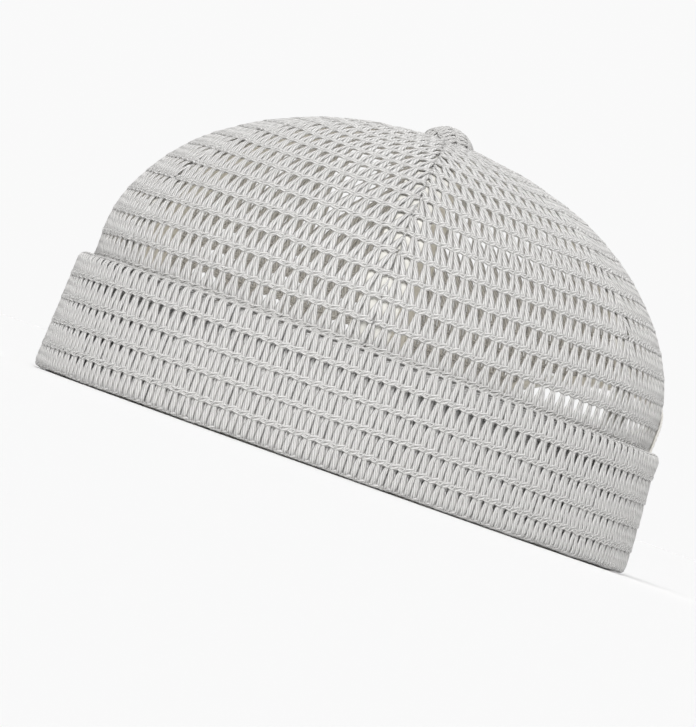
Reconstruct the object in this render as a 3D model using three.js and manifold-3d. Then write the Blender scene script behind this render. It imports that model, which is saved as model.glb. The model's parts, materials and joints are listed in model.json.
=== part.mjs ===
// A brimless skull cap of open knitted mesh: six crown panels over taped seams, a covered
// button, a turned-up cuff, a sweatband, and an adjustable strap across an arch at the back.
// Millimetres, +Z up. The rim stands on z = 0, the front faces -Y, the wearer's left is +X.

import * as THREE from 'three';
import { mergeVertices } from 'three/addons/utils/BufferGeometryUtils.js';
import Module from 'manifold-3d';

// Head opening at the rim, an ellipse of 57 cm girth
const HEAD_HALF_LENGTH = 97.5;
const HEAD_HALF_WIDTH = 83.5;

// Layers of the wall, from the head outward
const GAP = 0.3;
const SWEATBAND_THICK = 1.2;
const CROWN_THICK = 1.8;
const CUFF_THICK = 4.0;
const CROWN_IN = SWEATBAND_THICK + GAP;
const CROWN_OUT = CROWN_IN + CROWN_THICK;
const CUFF_IN = CROWN_OUT + GAP;

// Crown: a wall that leans in a little up to the shoulder, then an elliptical dome
const SHOULDER_Z = 47;
const SHOULDER_LEAN = 2;
const DOME_RISE = 66;
const PANELS = 6;
const CROWN_FOOT_Z = 1.2;
const CROWN_TIP_TILT = 88.6;
const WALL_ROWS = 4;
const DOME_ROWS = 11;
const DOME_STEP = 8;
const STATION_LEAST = 1;
const PANEL_COLUMNS = 8;

// Tape under each crown seam
const TAPE_WIDTH = 13;
const TAPE_THICK = 0.8;
const TAPE_GAP = 0.5;
const TAPE_TIP_TILT = 87;
const TAPE_TIP_SHARE = 0.42;

// Sweatband, with the rolled edge that the rim stands on
const SWEATBAND_TOP = 38;
const ROLL_HEIGHT = 0.9;
const ROLL_WIDTH = 4.8;

// Cuff, folded over at its top; offset is the share of its thickness
const CUFF_FOOT_Z = 1.2;
const CUFF_PROFILE = [
  { height: 0, inner: 0.1, outer: 0.7 },
  { height: 1.5, inner: 0, outer: 0.95 },
  { height: 10, inner: 0, outer: 1 },
  { height: 24, inner: 0, outer: 1 },
  { height: 35.5, inner: 0, outer: 1 },
  { height: 37.6, inner: 0.04, outer: 0.93 },
  { height: 38.8, inner: 0.24, outer: 0.7 },
];
const BAND_COLUMNS = 54;
const BAND_HALF_TURN = 175;

// Arch cut out of the back, in degrees either side of the back centre
const ARCH_HALF_ANGLE = 37;
const ARCH_SIDE_Z = 28;
const ARCH_TOP_Z = 56;
const ARCH_ROUNDNESS = 2.2;
const ARCH_ROWS = 14;
const BINDING_WIDTH = 3;
const BINDING_IN = -0.4;
const BINDING_OUT = 3.9;
const BINDING_CORNER = 0.8;
const BINDING_FOOT_Z = 0.2;

// Strap and slider
const STRAP_WIDTH = 25;
const STRAP_THICK = 1.3;
const STRAP_OFFSET = 1.5;
const STRAP_FOOT_Z = 2;
const STRAP_BEND = 1.2;
const STRAP_FLAT_HALF = 13;
const STRAP_BOW = 1.5;
const STRAP_END_GAP = 0.4;
const STRAP_FLAT_DROP = 0.5;
const STRAP_STEP = 4;
const TAIL_LEVEL = -(STRAP_THICK + GAP);
const TAIL_REACH = 17;
const FOLD_REACH = 29;
const SLIDER_X = -2;
const SLIDER_THICK = 2.6;
const SLIDER_HALF_WIDTH = 11.2;
const SLIDER_BAR = 2.8;
const SLIDER_MIDDLE_HALF = 4;
const SLIDER_RAIL = 1.5;
const SLIDER_CORNER = 2.6;
const BAR_EASE = 0.15;

// Covered button
const BUTTON_RADIUS = 8.6;
const BUTTON_HEIGHT = 4.6;
const BUTTON_EDGE = 1;
const BUTTON_ROWS = 6;
const BUTTON_SIDES = 24;

const COLOURS = {
  mesh: { color: 0xdedbd8, roughness: 0.7, metalness: 0 },
  tape: { color: 0xe6e0d0, roughness: 0.85, metalness: 0 },
  sweatband: { color: 0xb5aa88, roughness: 0.9, metalness: 0 },
  webbing: { color: 0x1d1d1f, roughness: 0.75, metalness: 0 },
  plastic: { color: 0x2b2b28, roughness: 0.45, metalness: 0 },
};

const wasm = await Module();
wasm.setup();

const cap = new THREE.Group();

const radians = THREE.MathUtils.degToRad;

// How far the wall has leaned in at height z
function leanAt(z) {
  const climb = THREE.MathUtils.clamp(z / SHOULDER_Z, 0, 1);
  return SHOULDER_LEAN * (1 - Math.cos(Math.PI * climb)) / 2;
}

// A point of the wall: the angle turns from the front toward +X, offset is outward of the head
function wallPoint(angle, z, offset) {
  const grow = offset - leanAt(z);
  const x = (HEAD_HALF_WIDTH + grow) * Math.sin(angle);
  const y = -(HEAD_HALF_LENGTH + grow) * Math.cos(angle);
  return new THREE.Vector3(x, y, z);
}

// A point of the dome: tilt is 0 at the shoulder and 90 degrees at the top
function domePoint(angle, tilt, offset) {
  const grow = offset - SHOULDER_LEAN;
  const x = (HEAD_HALF_WIDTH + grow) * Math.sin(angle) * Math.cos(tilt);
  const y = -(HEAD_HALF_LENGTH + grow) * Math.cos(angle) * Math.cos(tilt);
  const rise = DOME_RISE + offset - CROWN_OUT;
  return new THREE.Vector3(x, y, SHOULDER_Z + rise * Math.sin(tilt));
}

// One station of the crown: how high it is, how wide, and where its points go
function wallStation(z) {
  const radius = (HEAD_HALF_LENGTH + HEAD_HALF_WIDTH) / 2 + CROWN_OUT;
  return { z, radius, place: (angle, offset) => wallPoint(angle, z, offset) };
}

function domeStation(tilt) {
  const radius = wallStation(SHOULDER_Z).radius * Math.cos(tilt);
  const z = SHOULDER_Z + DOME_RISE * Math.sin(tilt);
  return { z, radius, place: (angle, offset) => domePoint(angle, tilt, offset) };
}

// Stations up the crown; every layer shares those above its own foot
function crownStations(footZ, tipTilt) {
  const stations = [];
  for (let i = 0; i < WALL_ROWS; i += 1) stations.push(wallStation(SHOULDER_Z * i / WALL_ROWS));
  for (let i = 0; i < DOME_ROWS; i += 1) stations.push(domeStation(radians(DOME_STEP * i)));
  const foot = footZ < SHOULDER_Z
    ? wallStation(footZ)
    : domeStation(Math.asin((footZ - SHOULDER_Z) / DOME_RISE));
  const above = stations.filter(({ z }) => z > footZ + STATION_LEAST);
  return [foot, ...above, domeStation(radians(tipTilt))];
}

// A closed wall from rows of inner and outer points, all rows of one length
function slab(rows) {
  const positions = [];
  const indices = [];
  const columns = rows[0].outer.length;
  rows.forEach((row) => {
    row.outer.forEach((point) => positions.push(point.x, point.y, point.z));
    row.inner.forEach((point) => positions.push(point.x, point.y, point.z));
  });
  const outer = (j, i) => j * 2 * columns + i;
  const inner = (j, i) => outer(j, i) + columns;
  const quad = (a, b, c, d) => indices.push(a, b, c, a, c, d);
  const last = rows.length - 1;
  for (let j = 0; j < last; j += 1) {
    for (let i = 0; i < columns - 1; i += 1) {
      quad(outer(j, i), outer(j, i + 1), outer(j + 1, i + 1), outer(j + 1, i));
      quad(inner(j, i), inner(j + 1, i), inner(j + 1, i + 1), inner(j, i + 1));
    }
    quad(outer(j, 0), outer(j + 1, 0), inner(j + 1, 0), inner(j, 0));
    const end = columns - 1;
    quad(outer(j, end), inner(j, end), inner(j + 1, end), outer(j + 1, end));
  }
  for (let i = 0; i < columns - 1; i += 1) {
    quad(outer(0, i), inner(0, i), inner(0, i + 1), outer(0, i + 1));
    quad(outer(last, i), outer(last, i + 1), inner(last, i + 1), inner(last, i));
  }
  const geometry = new THREE.BufferGeometry();
  geometry.setAttribute('position', new THREE.Float32BufferAttribute(positions, 3));
  geometry.setIndex(indices);
  return geometry;
}

function asSolid(geometry) {
  const bare = geometry.clone();
  bare.deleteAttribute('normal');
  bare.deleteAttribute('uv');
  const merged = mergeVertices(bare);
  return new wasm.Manifold(new wasm.Mesh({
    numProp: 3,
    vertProperties: new Float32Array(merged.attributes.position.array),
    triVerts: new Uint32Array(merged.index.array),
  }));
}

function asGeometry(solid) {
  const mesh = solid.getMesh();
  const geometry = new THREE.BufferGeometry();
  geometry.setAttribute('position', new THREE.Float32BufferAttribute(mesh.vertProperties, 3));
  geometry.setIndex(Array.from(mesh.triVerts));
  return geometry;
}

function addPiece(name, geometry, look) {
  geometry.computeVertexNormals();
  const piece = new THREE.Mesh(geometry, new THREE.MeshStandardMaterial(look));
  piece.name = name;
  cap.add(piece);
}

// Half the arch's opening at height z, in degrees from the back centre
function archHalfAngle(z) {
  const climb = THREE.MathUtils.clamp((z - ARCH_SIDE_Z) / (ARCH_TOP_Z - ARCH_SIDE_Z), 0, 1);
  return ARCH_HALF_ANGLE * Math.pow(1 - Math.pow(climb, ARCH_ROUNDNESS), 1 / ARCH_ROUNDNESS);
}

// The arch's edge from its foot on the +X side to its foot on the other, moved out by grow;
// each point has its angle from the back centre and its height
function archEdge(footZ, grow) {
  const radius = (HEAD_HALF_LENGTH + HEAD_HALF_WIDTH) / 2;
  const half = [{ angle: -radians(ARCH_HALF_ANGLE) - grow / radius, z: footZ }];
  for (let i = 0; i <= ARCH_ROWS; i += 1) {
    const climb = Math.sin(Math.PI / 2 * i / ARCH_ROWS);
    const z = ARCH_SIDE_Z + (ARCH_TOP_Z - ARCH_SIDE_Z) * climb;
    const angle = -radians(archHalfAngle(z));
    const across = Math.cos(Math.PI / 2 * i / ARCH_ROWS);
    half.push({ angle: angle - grow * across / radius, z: z + grow * climb });
  }
  const other = half.slice(0, -1).reverse().map(({ angle, z }) => ({ angle: -angle, z }));
  return half.concat(other);
}

// The block that clears the arch, with its edge moved out by the binding and its gap
function archBlock() {
  const reachIn = -14;
  const reachOut = 16;
  const footZ = -4;
  const columns = 12;
  const edge = archEdge(footZ, BINDING_WIDTH + GAP);
  const half = edge.slice(0, (edge.length - 1) / 2);
  const rows = half.map(({ angle, z }) => {
    const row = { inner: [], outer: [] };
    for (let i = 0; i <= columns; i += 1) {
      const turn = Math.PI + angle * (1 - 2 * i / columns);
      row.inner.push(wallPoint(turn, z, reachIn));
      row.outer.push(wallPoint(turn, z, reachOut));
    }
    return row;
  });
  return asSolid(slab(rows));
}

const archSpace = archBlock();

function addCrownPanel(number) {
  const middle = radians(360 / PANELS) * (number - 0.5);
  const rows = crownStations(CROWN_FOOT_Z, CROWN_TIP_TILT).map(({ place, radius }) => {
    const half = radians(180 / PANELS) - GAP / 2 / radius;
    const row = { inner: [], outer: [] };
    for (let i = 0; i <= PANEL_COLUMNS; i += 1) {
      const angle = middle + half * (2 * i / PANEL_COLUMNS - 1);
      row.inner.push(place(angle, CROWN_IN));
      row.outer.push(place(angle, CROWN_OUT));
    }
    return row;
  });
  let geometry = slab(rows);
  const atBack = Math.abs(middle - Math.PI) < radians(360 / PANELS);
  if (atBack) geometry = asGeometry(asSolid(geometry).subtract(archSpace));
  addPiece(`crown_panel_${number}`, geometry, COLOURS.mesh);
}

function addSeamTape(number) {
  const seam = radians(360 / PANELS) * (number - 1);
  const atBack = Math.abs(seam - Math.PI) < radians(1);
  const footZ = atBack ? ARCH_TOP_Z + BINDING_WIDTH + 2 * GAP : SWEATBAND_TOP + GAP;
  const tapeOut = CROWN_IN - TAPE_GAP;
  const rows = crownStations(footZ, TAPE_TIP_TILT).map(({ place, radius }) => {
    const half = Math.min(TAPE_WIDTH / 2 / radius, TAPE_TIP_SHARE);
    const row = { inner: [], outer: [] };
    [-half, 0, half].forEach((turn) => {
      row.inner.push(place(seam + turn, tapeOut - TAPE_THICK));
      row.outer.push(place(seam + turn, tapeOut));
    });
    return row;
  });
  addPiece(`seam_tape_${number}`, slab(rows), COLOURS.tape);
}

// A band round the wall, open at the arch; each section has a height and its two offsets
function bandGeometry(sections) {
  const rows = sections.map(({ z, inner, outer }) => {
    const row = { inner: [], outer: [] };
    for (let i = 0; i <= BAND_COLUMNS; i += 1) {
      const angle = radians(BAND_HALF_TURN) * (2 * i / BAND_COLUMNS - 1);
      row.inner.push(wallPoint(angle, z, inner));
      row.outer.push(wallPoint(angle, z, outer));
    }
    return row;
  });
  return asGeometry(asSolid(slab(rows)).subtract(archSpace));
}

function addCuff() {
  const sections = CUFF_PROFILE.map(({ height, inner, outer }) => ({
    z: CUFF_FOOT_Z + height,
    inner: CUFF_IN + inner * CUFF_THICK,
    outer: CUFF_IN + outer * CUFF_THICK,
  }));
  addPiece('cuff', bandGeometry(sections), COLOURS.mesh);
}

function addSweatband() {
  const sections = [
    { z: 0, inner: 0, outer: ROLL_WIDTH },
    { z: ROLL_HEIGHT, inner: 0, outer: ROLL_WIDTH },
    { z: ROLL_HEIGHT, inner: 0, outer: SWEATBAND_THICK },
  ];
  const steps = 4;
  for (let i = 1; i <= steps; i += 1) {
    const z = ROLL_HEIGHT + (SWEATBAND_TOP - ROLL_HEIGHT) * i / steps;
    sections.push({ z, inner: 0, outer: SWEATBAND_THICK });
  }
  addPiece('sweatband', bandGeometry(sections), COLOURS.sweatband);
}

// Folded tape round the arch, a chamfered section carried along the arch's edge
function addArchBinding() {
  const edge = archEdge(BINDING_FOOT_Z, BINDING_WIDTH / 2);
  const middle = (BINDING_IN + BINDING_OUT) / 2;
  const halfThick = (BINDING_OUT - BINDING_IN) / 2;
  const halfWidth = BINDING_WIDTH / 2;
  const section = [
    [halfWidth, halfThick - BINDING_CORNER],
    [halfWidth - BINDING_CORNER, halfThick],
    [BINDING_CORNER - halfWidth, halfThick],
    [-halfWidth, halfThick - BINDING_CORNER],
    [-halfWidth, BINDING_CORNER - halfThick],
    [BINDING_CORNER - halfWidth, -halfThick],
    [halfWidth - BINDING_CORNER, -halfThick],
    [halfWidth, BINDING_CORNER - halfThick],
  ];
  const route = edge.map(({ angle, z }) => wallPoint(Math.PI + angle, z, middle));
  const rings = edge.map(({ angle, z }, i) => {
    const before = route[Math.max(i - 1, 0)];
    const after = route[Math.min(i + 1, route.length - 1)];
    const along = after.clone().sub(before).normalize();
    const outward = wallPoint(Math.PI + angle, z, middle + 1).sub(route[i]).normalize();
    const across = new THREE.Vector3().crossVectors(along, outward).normalize();
    const out = new THREE.Vector3().crossVectors(across, along).normalize();
    return section.map(([u, v]) => route[i].clone().addScaledVector(across, u).addScaledVector(out, v));
  });
  const foot = (ring) => ring.map((point) => point.clone().setZ(BINDING_FOOT_Z));
  rings[0] = foot(rings[0]);
  rings[rings.length - 1] = foot(rings[rings.length - 1]);
  addPiece('arch_binding', tubeGeometry(rings), COLOURS.tape);
}

// A closed tube through rings of points, with flat ends
function tubeGeometry(rings) {
  const positions = rings.flat().flatMap((point) => [point.x, point.y, point.z]);
  const indices = [];
  const sides = rings[0].length;
  for (let j = 0; j < rings.length - 1; j += 1) {
    for (let i = 0; i < sides; i += 1) {
      const a = j * sides + i;
      const b = j * sides + (i + 1) % sides;
      indices.push(a, b + sides, b, a, a + sides, b + sides);
    }
  }
  const start = (rings.length - 1) * sides;
  for (let i = 1; i < sides - 1; i += 1) {
    indices.push(0, i, i + 1);
    indices.push(start, start + i + 1, start + i);
  }
  const geometry = new THREE.BufferGeometry();
  geometry.setAttribute('position', new THREE.Float32BufferAttribute(positions, 3));
  geometry.setIndex(indices);
  return geometry;
}

const strapHalfWidth = HEAD_HALF_WIDTH + STRAP_OFFSET;
const strapHalfLength = HEAD_HALF_LENGTH + STRAP_OFFSET;
const strapEndAngle = radians(ARCH_HALF_ANGLE) - STRAP_END_GAP / strapHalfLength;
const strapEndX = strapHalfWidth * Math.sin(strapEndAngle);
const strapEndY = strapHalfLength * Math.cos(strapEndAngle);

// The strap's middle line in plan: straight where the slider is, then bowed to the wall
function strapLine(x) {
  const straight = strapHalfLength - STRAP_FLAT_DROP;
  const away = x - SLIDER_X;
  const bowed = Math.max(Math.abs(away) - STRAP_FLAT_HALF, 0);
  const reach = strapEndX - SLIDER_X * Math.sign(away) - STRAP_FLAT_HALF;
  return straight - (straight - strapEndY) * (bowed / reach) ** STRAP_BOW;
}

// Levels across the slider, outward from the strap's middle line
const barIn = STRAP_THICK / 2 + GAP;
const barOut = barIn + SLIDER_THICK;
const overLevel = barOut + GAP + STRAP_THICK / 2;
const sideInner = SLIDER_HALF_WIDTH - SLIDER_BAR;

// Points at even steps along the strap's line, from one x to another, on a level
function strapRun(fromX, toX, level) {
  const count = Math.max(1, Math.round(Math.abs(toX - fromX) / STRAP_STEP));
  const points = [];
  for (let i = 0; i <= count; i += 1) {
    const x = fromX + (toX - fromX) * i / count;
    points.push(new THREE.Vector2(x, strapLine(x) + level));
  }
  return points;
}

// A quarter turn of the strap round a point beside a bar of the slider
function strapTurn(x, level, fromDegrees, toDegrees) {
  const steps = 4;
  const points = [];
  for (let i = 0; i <= steps; i += 1) {
    const angle = radians(fromDegrees + (toDegrees - fromDegrees) * i / steps);
    const turnX = SLIDER_X + x + STRAP_BEND * Math.cos(angle);
    points.push(new THREE.Vector2(turnX, strapLine(turnX) + level + STRAP_BEND * Math.sin(angle)));
  }
  return points;
}

// The webbing that follows a line in plan
function webbing(line) {
  const half = STRAP_THICK / 2;
  const side = (sign) => line.map((point, i) => {
    const before = line[Math.max(i - 1, 0)];
    const after = line[Math.min(i + 1, line.length - 1)];
    const arriving = point.clone().sub(before);
    const leaving = after.clone().sub(point);
    if (i === 0) arriving.copy(leaving);
    if (i === line.length - 1) leaving.copy(arriving);
    arriving.normalize();
    leaving.normalize();
    const along = arriving.clone().add(leaving).normalize();
    const reach = half / along.dot(leaving);
    return new THREE.Vector2(point.x - sign * along.y * reach, point.y + sign * along.x * reach);
  });
  const outline = new THREE.Shape(side(1).concat(side(-1).reverse()));
  const geometry = new THREE.ExtrudeGeometry(outline, { depth: STRAP_WIDTH, bevelEnabled: false });
  return geometry.translate(0, 0, STRAP_FOOT_Z);
}

// Drops a point that repeats the one before it
function withoutRepeats(line) {
  return line.filter((point, i) => i === 0 || point.distanceTo(line[i - 1]) > 0.05);
}

// Sewn round the slider's side bar, and doubled outside
function addFixedStrap() {
  const turnX = BAR_EASE - sideInner;
  const line = [
    ...strapRun(-strapEndX, SLIDER_X + turnX, 0),
    ...strapTurn(turnX, STRAP_BEND, -90, 0),
    ...strapTurn(turnX, overLevel - STRAP_BEND, 0, 90),
    ...strapRun(SLIDER_X + turnX, -FOLD_REACH, overLevel),
  ];
  addPiece('strap_fixed', webbing(withoutRepeats(line)), COLOURS.webbing);
}

// Inside the near bar, over the middle one, and back inside as a short tail
function addRunningStrap() {
  const slotX = (sideInner + SLIDER_MIDDLE_HALF) / 2;
  const backX = -SLIDER_MIDDLE_HALF - barIn - BAR_EASE;
  const line = [
    ...strapRun(strapEndX, SLIDER_X + slotX + STRAP_BEND, 0),
    ...strapTurn(slotX + STRAP_BEND, STRAP_BEND, -90, -180),
    ...strapTurn(slotX - STRAP_BEND, overLevel - STRAP_BEND, 0, 90),
    ...strapTurn(backX + STRAP_BEND, overLevel - STRAP_BEND, 90, 180),
    ...strapTurn(backX - STRAP_BEND, TAIL_LEVEL + STRAP_BEND, 0, -90),
    ...strapRun(SLIDER_X + backX - STRAP_BEND, -TAIL_REACH, TAIL_LEVEL),
  ];
  addPiece('strap_running', webbing(withoutRepeats(line)), COLOURS.webbing);
}

// A plastic plate with two slots, standing in the strap's plane
function addSlider() {
  const slotHeight = STRAP_WIDTH + 2 * GAP;
  const halfHeight = slotHeight / 2 + SLIDER_RAIL;
  const outline = new THREE.Shape(roundedBox(SLIDER_HALF_WIDTH, halfHeight, SLIDER_CORNER));
  let plate = asSolid(new THREE.ExtrudeGeometry(outline, { depth: SLIDER_THICK, bevelEnabled: false }));
  const slotWidth = sideInner - SLIDER_MIDDLE_HALF;
  [-1, 1].forEach((side) => {
    const slot = new THREE.BoxGeometry(slotWidth, slotHeight, 3 * SLIDER_THICK);
    slot.translate(side * (sideInner + SLIDER_MIDDLE_HALF) / 2, 0, 0);
    plate = plate.subtract(asSolid(slot));
  });
  const geometry = asGeometry(plate);
  geometry.rotateX(Math.PI / 2);
  geometry.translate(SLIDER_X, strapLine(SLIDER_X) + barOut, STRAP_FOOT_Z + STRAP_WIDTH / 2);
  addPiece('slider', geometry, COLOURS.plastic);
}

// The outline of a box with round corners
function roundedBox(halfWidth, halfHeight, corner) {
  const steps = 4;
  const points = [];
  [[1, -1], [1, 1], [-1, 1], [-1, -1]].forEach(([sideX, sideY], quarter) => {
    for (let i = 0; i <= steps; i += 1) {
      const angle = Math.PI / 2 * (quarter - 1 + i / steps);
      const x = sideX * (halfWidth - corner) + corner * Math.cos(angle);
      const y = sideY * (halfHeight - corner) + corner * Math.sin(angle);
      points.push(new THREE.Vector2(x, y));
    }
  });
  return points;
}

function addButton() {
  const profile = [new THREE.Vector2(0, 0), new THREE.Vector2(BUTTON_RADIUS - BUTTON_EDGE / 2, 0)];
  for (let i = 0; i <= BUTTON_ROWS; i += 1) {
    const tilt = Math.PI / 2 * i / BUTTON_ROWS;
    const x = BUTTON_RADIUS * Math.cos(tilt);
    const height = BUTTON_EDGE + (BUTTON_HEIGHT - BUTTON_EDGE) * Math.sin(tilt);
    profile.push(new THREE.Vector2(i === BUTTON_ROWS ? 0 : x, height));
  }
  const button = new THREE.LatheGeometry(profile, BUTTON_SIDES);
  button.rotateX(Math.PI / 2);
  button.translate(0, 0, SHOULDER_Z + DOME_RISE + GAP);
  addPiece('button', button, COLOURS.mesh);
}

for (let number = 1; number <= PANELS; number += 1) addCrownPanel(number);
for (let number = 1; number <= PANELS; number += 1) addSeamTape(number);
addButton();
addCuff();
addSweatband();
addArchBinding();
addFixedStrap();
addRunningStrap();
addSlider();

export default cap;
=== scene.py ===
# The looks of a knitted skull cap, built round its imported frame: an open mesh crown in six gores
# over cream tapes, a turned-up cuff, a sweatband, and a black strap across an arch at the back.
# Shapes are worked out in millimetres and scaled to metres when a mesh is made. The rim stands
# on z = 0, the front faces -Y and the wearer's left is +X.

import json
import math

import bmesh
import bpy
import numpy as np
from mathutils import Matrix, Vector

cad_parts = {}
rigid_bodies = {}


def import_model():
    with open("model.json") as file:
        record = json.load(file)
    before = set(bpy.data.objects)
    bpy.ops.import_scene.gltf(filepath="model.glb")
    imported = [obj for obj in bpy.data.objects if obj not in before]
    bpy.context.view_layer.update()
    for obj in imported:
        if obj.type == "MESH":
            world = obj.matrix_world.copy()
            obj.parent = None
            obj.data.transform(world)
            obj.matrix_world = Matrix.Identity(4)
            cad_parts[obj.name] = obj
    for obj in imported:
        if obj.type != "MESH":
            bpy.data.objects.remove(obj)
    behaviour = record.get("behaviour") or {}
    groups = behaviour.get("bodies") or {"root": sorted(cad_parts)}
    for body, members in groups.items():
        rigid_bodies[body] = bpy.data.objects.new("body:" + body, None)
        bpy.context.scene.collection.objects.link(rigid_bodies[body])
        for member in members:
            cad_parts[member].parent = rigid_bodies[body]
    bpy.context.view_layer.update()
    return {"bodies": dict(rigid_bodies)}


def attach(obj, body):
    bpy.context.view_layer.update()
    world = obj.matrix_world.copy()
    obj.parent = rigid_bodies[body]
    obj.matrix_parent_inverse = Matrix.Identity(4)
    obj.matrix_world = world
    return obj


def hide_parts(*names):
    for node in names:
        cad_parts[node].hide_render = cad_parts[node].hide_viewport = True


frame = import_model()

MM = 0.001
BODY = next(iter(frame["bodies"]))
rng = np.random.default_rng(11)

# Head opening at the rim, and the crown's outline, as the frame has them
HEAD_HALF_LENGTH = 97.5
HEAD_HALF_WIDTH = 83.5
MEAN_RADIUS = (HEAD_HALF_LENGTH + HEAD_HALF_WIDTH) / 2
SHOULDER_Z = 47
SHOULDER_LEAN = 2
DOME_RISE = 66
CROWN_OUT = 3.3
PANELS = 6
GORE_HALF_TURN = math.pi / PANELS

# Offsets from the head to the middle of each layer, and half the thickness of plain cloth
CROWN_MIDDLE = 2.4
CUFF_FACE = 7.0
CUFF_BACK = 4.2
SHEET_HALF_THICK = 0.3

# Knit: one stitch is a pair of legs under a chain, repeated by wale and by row
WALE = 4.5
ROW = 8.0
LEG_STEPS = 8
LEG_LOW = -3.7
LEG_HIGH = 4.1
LEG_HALF_THICK = 0.4
LEG_FOOT_X = 0.85
LEG_FOOT_SHARE = 0.62
LEG_TOP_SHARE = 0.7
LEG_END_Z = -0.3
LEG_KEY_X = 1.1
HOLE_TOP = 3.4
CHAIN_Y = 4.5
CHAIN_HALF = 0.62
CHAIN_KEY_Y = 3.6
STRAND_SIDES = 6
STRAND_STEPS = 5
STRAND_FLATNESS = 0.8
STRAND_OVERLAP = 0.15
JITTER = 0.09
STITCH_LEAN = 0.03

# The chain's two strands: height in the stitch, rise over the hole, and how far out they lie
CHAIN_STRANDS = ((HOLE_TOP + 0.55, 0.42, 0.06), (HOLE_TOP + 1.6, 0.22, 0.04))

# Arch cut out of the back
ARCH_HALF_ANGLE = math.radians(37)
ARCH_SIDE_Z = 28
ARCH_TOP_Z = 56
ARCH_ROUNDNESS = 2.2
BINDING_WIDTH = 3
BINDING_MIDDLE = 1.75
BINDING_HALF_THICK = 2.1


# Routes of points, as arrays with a row for each point

def travelled(route):
    """The distance along a route from its start to each of its points."""
    step = np.linalg.norm(np.diff(route, axis=0), axis=1)
    return np.concatenate([[0], np.cumsum(step)])


def line_length(line):
    return float(np.linalg.norm(np.diff(line, axis=0), axis=1).sum())


def unit(vectors):
    return vectors / np.linalg.norm(vectors, axis=1)[:, None]


def even_route(route, step):
    """A route's points again, at even steps along it."""
    travel = travelled(route)
    at = np.linspace(0, travel[-1], int(travel[-1] / step) + 1)
    return np.stack([np.interp(at, travel, column) for column in route.T], -1)


def points_at(x, y, z):
    return np.stack(np.broadcast_arrays(x, y, z), -1)


# Wall and dome of the head's shape, for arrays of angles, heights and offsets

def lean_at(z):
    climb = np.clip(z / SHOULDER_Z, 0, 1)
    return SHOULDER_LEAN * (1 - np.cos(np.pi * climb)) / 2


def wall_point(angle, z, offset):
    grow = offset - lean_at(z)
    x = (HEAD_HALF_WIDTH + grow) * np.sin(angle)
    y = -(HEAD_HALF_LENGTH + grow) * np.cos(angle)
    return points_at(x, y, z)


def dome_point(angle, tilt, offset):
    grow = offset - SHOULDER_LEAN
    x = (HEAD_HALF_WIDTH + grow) * np.sin(angle) * np.cos(tilt)
    y = -(HEAD_HALF_LENGTH + grow) * np.cos(angle) * np.cos(tilt)
    z = SHOULDER_Z + (DOME_RISE + offset - CROWN_OUT) * np.sin(tilt)
    return points_at(x, y, z)


DOME_TILTS = np.linspace(0, np.pi / 2, 400)


def dome_travel():
    """Distance up the middle of the dome's cloth at each of DOME_TILTS."""
    across = (MEAN_RADIUS + CROWN_MIDDLE - SHOULDER_LEAN) * np.cos(DOME_TILTS)
    up = (DOME_RISE + CROWN_MIDDLE - CROWN_OUT) * np.sin(DOME_TILTS)
    return travelled(np.stack([across, up], -1))


DOME_TRAVEL = dome_travel()
CROWN_TRAVEL = SHOULDER_Z + DOME_TRAVEL[-1]


def tilt_at(travel):
    return np.interp(travel - SHOULDER_Z, DOME_TRAVEL, DOME_TILTS)


def crown_point(angle, travel, offset):
    """A point of the crown; travel is the distance up its cloth from the rim."""
    on_wall = (travel < SHOULDER_Z)[..., None]
    wall = wall_point(angle, travel, offset)
    return np.where(on_wall, wall, dome_point(angle, tilt_at(travel), offset))


# Shapes are (points, quads, corner uvs), with the uvs in millimetres round and along

def oriented(points, quads, uvs):
    """Turns the faces of a closed shape outward."""
    a, b, c, d = points[quads.T]
    if (a * (np.cross(b, c) + np.cross(c, d))).sum() < 0:
        return points, quads[:, ::-1], uvs[:, ::-1]
    return points, quads, uvs


def tube(rings):
    """A closed tube through rings of points, shape (rings, sides, 3); sides is even."""
    count, sides = rings.shape[:2]
    points = rings.reshape(-1, 3)
    i = np.repeat(np.arange(count - 1), sides)
    j = np.tile(np.arange(sides), count - 1)
    here = i * sides
    after = here + sides
    beside = (j + 1) % sides
    quads = np.stack([here + j, here + beside, after + beside, after + j], -1)
    along = travelled(rings.mean(1))
    ring = rings[count // 2]
    around = travelled(np.concatenate([ring, ring[:1]]))
    corner_u = np.stack([around[j], around[j + 1], around[j + 1], around[j]], -1)
    corner_v = np.stack([along[i], along[i], along[i + 1], along[i + 1]], -1)
    uvs = np.stack([corner_u, corner_v], -1)
    k = np.arange(sides // 2 - 1)
    cap = np.stack([k, k + 1, sides - 2 - k, sides - 1 - k], -1)
    quads = np.concatenate([quads, cap[:, ::-1], cap + (count - 1) * sides])
    uvs = np.concatenate([uvs, np.zeros((2 * len(cap), 4, 2))])
    return oriented(points, quads, uvs)


def joined(shapes):
    """Several shapes as one."""
    points, quads, uvs = [], [], []
    start = 0
    for shape in shapes:
        points.append(shape[0])
        quads.append(shape[1] + start)
        uvs.append(shape[2])
        start += len(shape[0])
    return np.concatenate(points), np.concatenate(quads), np.concatenate(uvs)


def slab(outer, inner):
    """A closed sheet between two grids of points, shape (rows, columns, 3)."""
    return tube(np.concatenate([outer, inner[:, ::-1]], 1))


def yarn(route, half_width, half_thick, section):
    """A strand along a route in the flat cloth; section is (across, out) for each side."""
    along = unit(np.gradient(route, axis=0))
    across = unit(np.cross(along, [0.0, 0.0, 1.0]))
    out = np.cross(across, along)
    wide = half_width[:, None, None] * section[None, :, :1] * across[:, None, :]
    thick = half_thick[:, None, None] * section[None, :, 1:] * out[:, None, :]
    return tube(route[:, None, :] + wide + thick)


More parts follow.
